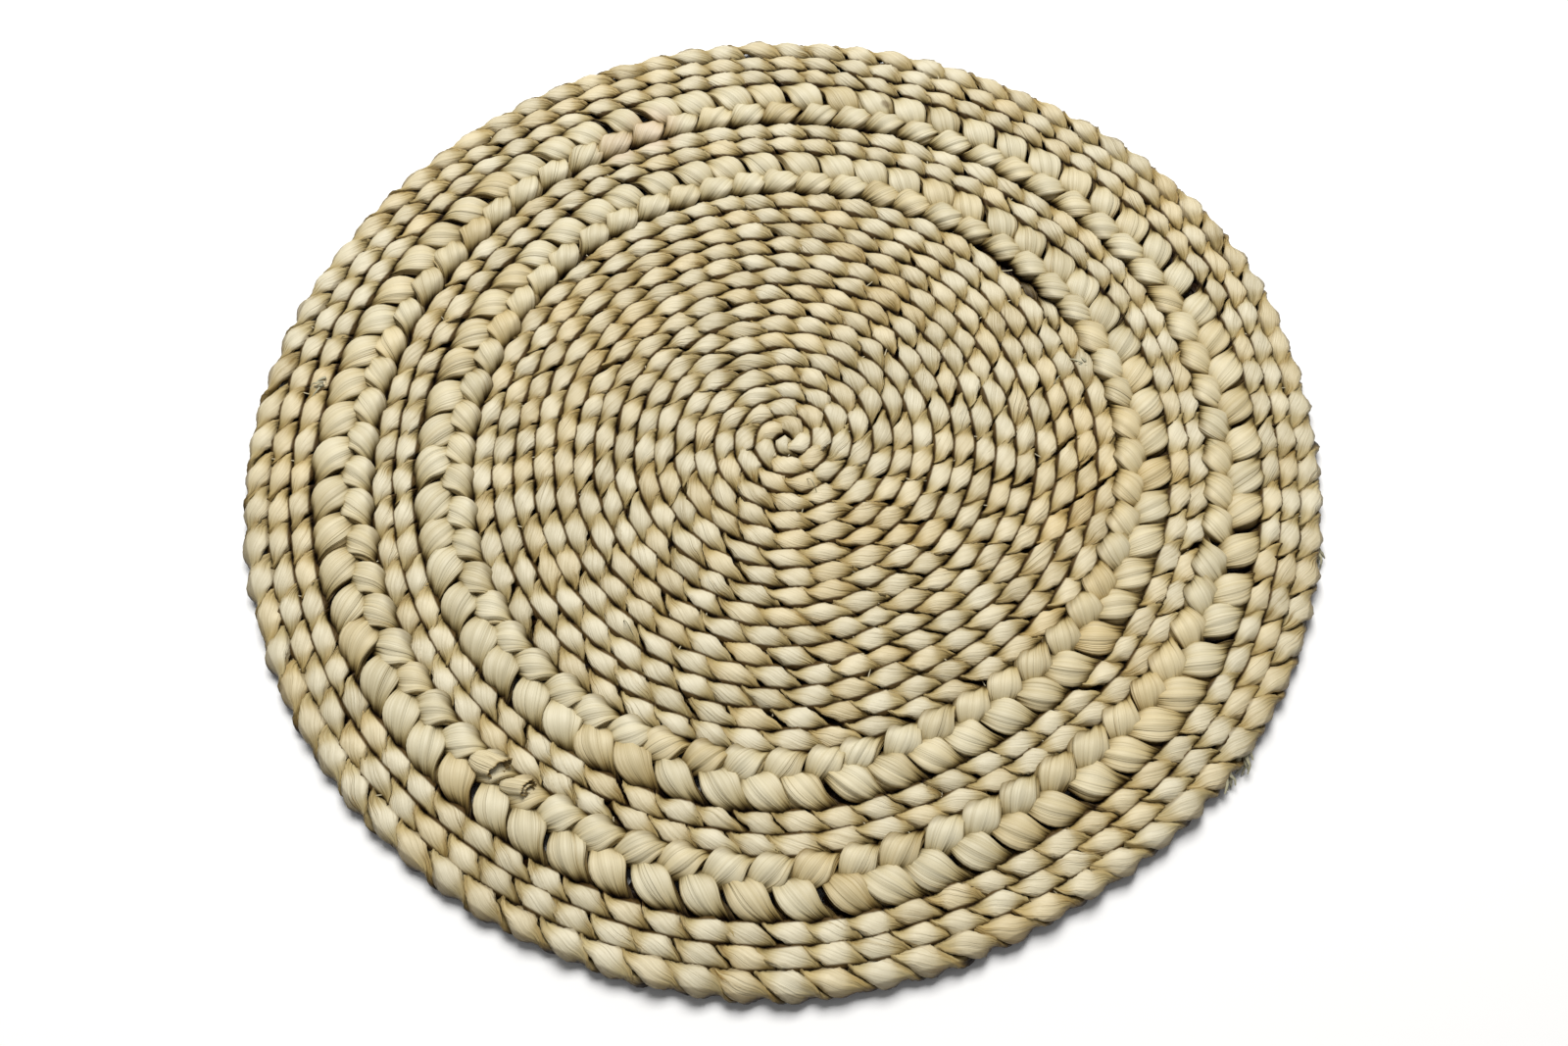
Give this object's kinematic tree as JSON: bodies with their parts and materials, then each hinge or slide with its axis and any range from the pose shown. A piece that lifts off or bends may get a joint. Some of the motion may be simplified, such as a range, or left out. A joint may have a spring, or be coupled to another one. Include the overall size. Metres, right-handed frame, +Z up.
{
  "type": "corn husk placemat",
  "caption": "Round, flat placemat of coiled twisted husk cord with two rings of three-strand plait, sewn edge to edge.",
  "frame": {"origin": "on the underside, at the middle of the centre coil", "axes": "+Z up, out of the mat's upper face; the coil winds outwards anticlockwise seen from above, and its cord tapers away at 60 degrees from +X towards +Y"},
  "size_m": [0.3771, 0.3803, 0.0102],
  "materials": {
    "husk_cord": "dry twisted husk, fine fibres along each strand, soft satin sheen",
    "husk_plait": "smooth folded husk, fine fibres and pleats, satin sheen"
  },
  "bodies": {
    "root": {"centre_coil": "husk_cord", "inner_plait": "husk_plait", "middle_cord_1": "husk_cord", "middle_cord_2": "husk_cord", "outer_plait": "husk_plait", "outer_cord_1": "husk_cord", "outer_cord_2": "husk_cord", "outer_cord_3": "husk_cord"}
  },
  "joints": []
}
